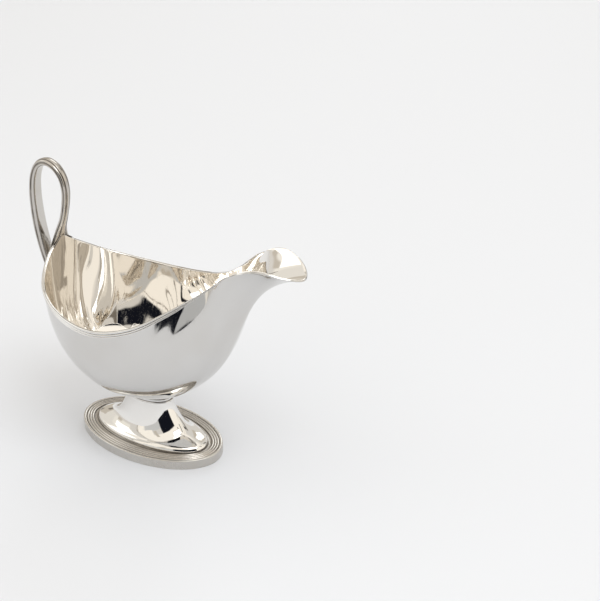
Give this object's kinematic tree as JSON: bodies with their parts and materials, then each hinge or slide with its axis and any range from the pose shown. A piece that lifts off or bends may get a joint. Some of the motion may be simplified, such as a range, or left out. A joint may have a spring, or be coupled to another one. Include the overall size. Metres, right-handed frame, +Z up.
{
  "type": "sauce boat",
  "caption": "Footed oval sauce boat in polished silver: deep bowl with a long flared lip, reeded rim, high reeded loop handle and an oval trumpet foot with a reeded border.",
  "frame": {"origin": "on the surface the foot stands on, under the middle of the outline in plan", "axes": "+Z up, +X from the handle towards the lip, +Y to the left of someone looking along +X"},
  "size_m": [0.175, 0.0832, 0.1573],
  "materials": {
    "bowl_silver": "bright hand polish, mirror-like with soft waviness",
    "reeded_silver": "polished reeds with dull tarnish in the grooves",
    "handle_silver": "worn polish on the reeds, brown-grey tarnish in the grooves",
    "collar_silver": "bright polish, dull at the solder lines",
    "foot_silver": "bright polish with fine rubbing marks",
    "border_silver": "fine reeds with grey-brown tarnish between them",
    "band_silver": "satin, rubbed plain band"
  },
  "bodies": {
    "root": {"bowl": "bowl_silver", "rim_reeding_left": "reeded_silver", "rim_reeding_right": "reeded_silver", "handle_loop": "handle_silver", "handle_lower_pad": "handle_silver", "foot_collar": "collar_silver", "foot_pedestal": "foot_silver", "foot_reeded_border": "border_silver", "foot_base_band": "band_silver"}
  },
  "joints": []
}
